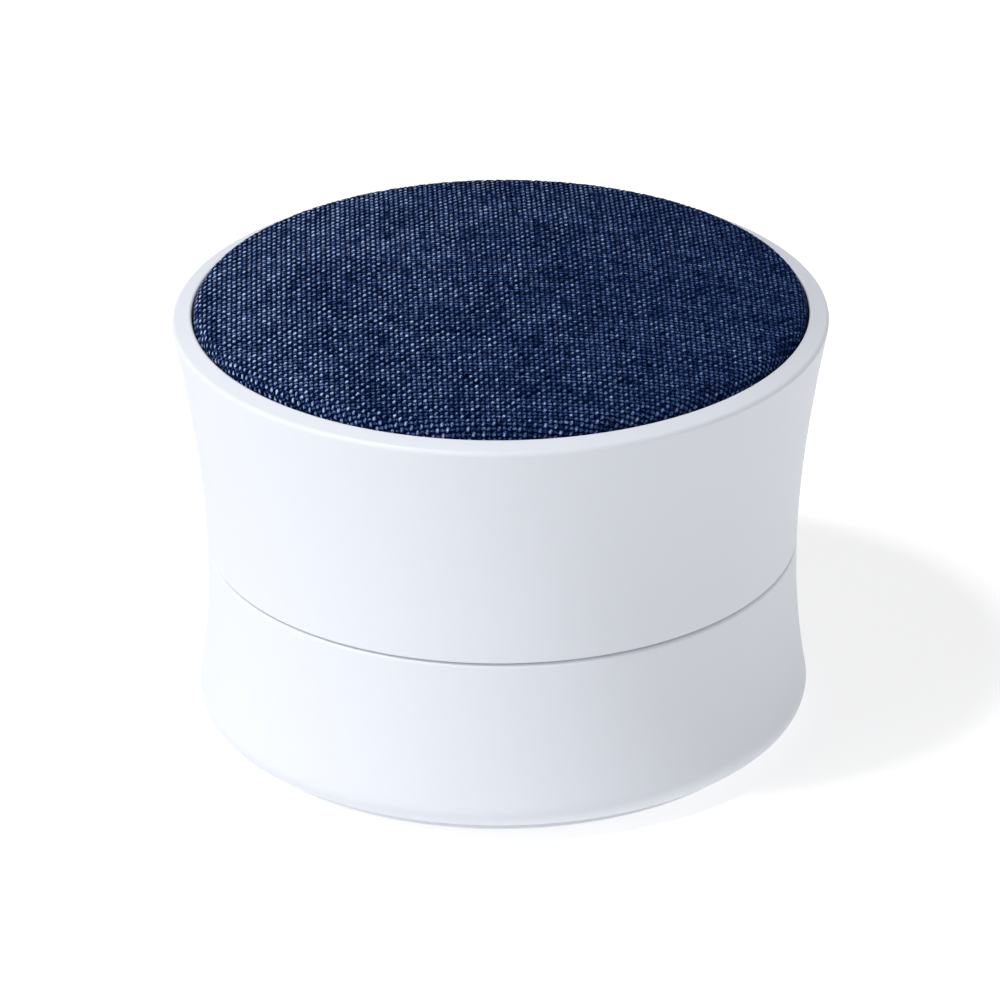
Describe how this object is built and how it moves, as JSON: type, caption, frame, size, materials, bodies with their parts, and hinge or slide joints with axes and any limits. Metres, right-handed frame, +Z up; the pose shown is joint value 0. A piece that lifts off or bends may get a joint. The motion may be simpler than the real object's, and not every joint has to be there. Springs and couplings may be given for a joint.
{
  "type": "bluetooth speaker",
  "caption": "Small round Bluetooth speaker: waisted white two-shell body, domed cloth grille over an upward driver, rear keys and charging socket, soft foot ring.",
  "frame": {"origin": "on the supporting surface, under the middle of the round body", "axes": "+Z up along the body's axis, -Y the plain front, +Y the back with the keys and the charging socket, +X to the right seen from the front"},
  "size_m": [0.0748, 0.0748, 0.0553],
  "materials": {
    "white_shell": "fine matt spark-eroded white ABS",
    "white_base": "matt white ABS",
    "foot_rubber": "soft grey silicone",
    "melange_cloth": "blue melange plain-weave polyester",
    "black_plastic": "matt black ABS",
    "basket_steel": "black powder-coated pressed steel",
    "zinc_steel": "bright zinc-plated steel",
    "ferrite": "dark sintered ferrite",
    "kapton": "amber polyimide film",
    "copper": "enamelled copper",
    "paper_cone": "black pressed paper",
    "surround_rubber": "black butyl rubber",
    "spider_cloth": "yellow resin-dipped cotton",
    "card": "dark pressed card",
    "board_green": "green solder mask",
    "chip_black": "black epoxy",
    "tinned": "tinned metal",
    "cell_foil": "silver laminated foil",
    "foam": "black foam",
    "nylon": "natural nylon",
    "red_wire": "red PVC",
    "black_wire": "black PVC",
    "clear_pipe": "clear polycarbonate",
    "gold": "gold flash on copper"
  },
  "bodies": {
    "enclosure": {"upper_shell": "white_shell", "lower_shell": "white_shell", "base_cover": "white_base", "foot_ring": "foot_rubber", "grille_cloth": "melange_cloth", "grille_frame": "black_plastic", "driver_baffle": "black_plastic", "driver_basket": "basket_steel", "driver_surround": "surround_rubber", "driver_spider": "spider_cloth", "driver_gasket": "card", "driver_top_plate": "zinc_steel", "driver_magnet": "ferrite", "driver_yoke": "zinc_steel", "driver_terminal_board": "card", "driver_terminal_lugs": "tinned", "main_board": "board_green", "bluetooth_chip": "chip_black", "amplifier_chip": "chip_black", "crystal": "tinned", "power_inductor": "chip_black", "smoothing_capacitors": "cell_foil", "surface_mount_parts": "nylon", "antenna_trace": "gold", "usb_socket_shell": "tinned", "usb_socket_tongue": "black_plastic", "status_led": "nylon", "light_pipe": "clear_pipe", "microphone": "cell_foil", "microphone_boot": "surround_rubber", "battery_cell": "cell_foil", "battery_foam_pad": "foam", "battery_protection_board": "board_green", "battery_connector": "nylon", "speaker_connector": "nylon", "battery_wire_red": "red_wire", "battery_wire_black": "black_wire", "speaker_wire_red": "red_wire", "speaker_wire_black": "black_wire", "key_switch_bodies": "chip_black", "key_board": "board_green", "key_header": "chip_black", "power_switch_body": "tinned", "shell_screws": "zinc_steel", "base_screws": "zinc_steel", "board_screws": "zinc_steel", "driver_screws": "basket_steel", "baffle_screws": "basket_steel"},
    "diaphragm": {"driver_cone": "paper_cone", "driver_dust_cap": "paper_cone", "coil_former": "kapton", "coil_winding": "copper"},
    "volume_up_button": {"volume_up_key": "white_shell", "volume_up_plunger": "nylon"},
    "play_button": {"play_key": "white_shell", "play_plunger": "nylon"},
    "volume_down_button": {"volume_down_key": "white_shell", "volume_down_plunger": "nylon"},
    "power_slide": {"power_slider": "black_plastic", "power_switch_lever": "black_plastic"}
  },
  "joints": [
    {"name": "cone_excursion", "type": "slide", "parent": "enclosure", "child": "diaphragm", "axis": [0, 0, 1], "range_m": [-0.001, 0.001], "stiffness_N_per_m": 1000, "deforming": ["driver_surround", "driver_spider"]},
    {"name": "volume_up_press", "type": "slide", "parent": "enclosure", "child": "volume_up_button", "axis": [0, -1, 0], "range_m": [0, 0.0003], "stiffness_N_per_m": 5000},
    {"name": "play_press", "type": "slide", "parent": "enclosure", "child": "play_button", "axis": [0, -1, 0], "range_m": [0, 0.0003], "stiffness_N_per_m": 5000},
    {"name": "volume_down_press", "type": "slide", "parent": "enclosure", "child": "volume_down_button", "axis": [0, -1, 0], "range_m": [0, 0.0003], "stiffness_N_per_m": 5000},
    {"name": "power_slide_travel", "type": "slide", "parent": "enclosure", "child": "power_slide", "axis": [1, 0, 0], "range_m": [0, 0.002]}
  ]
}
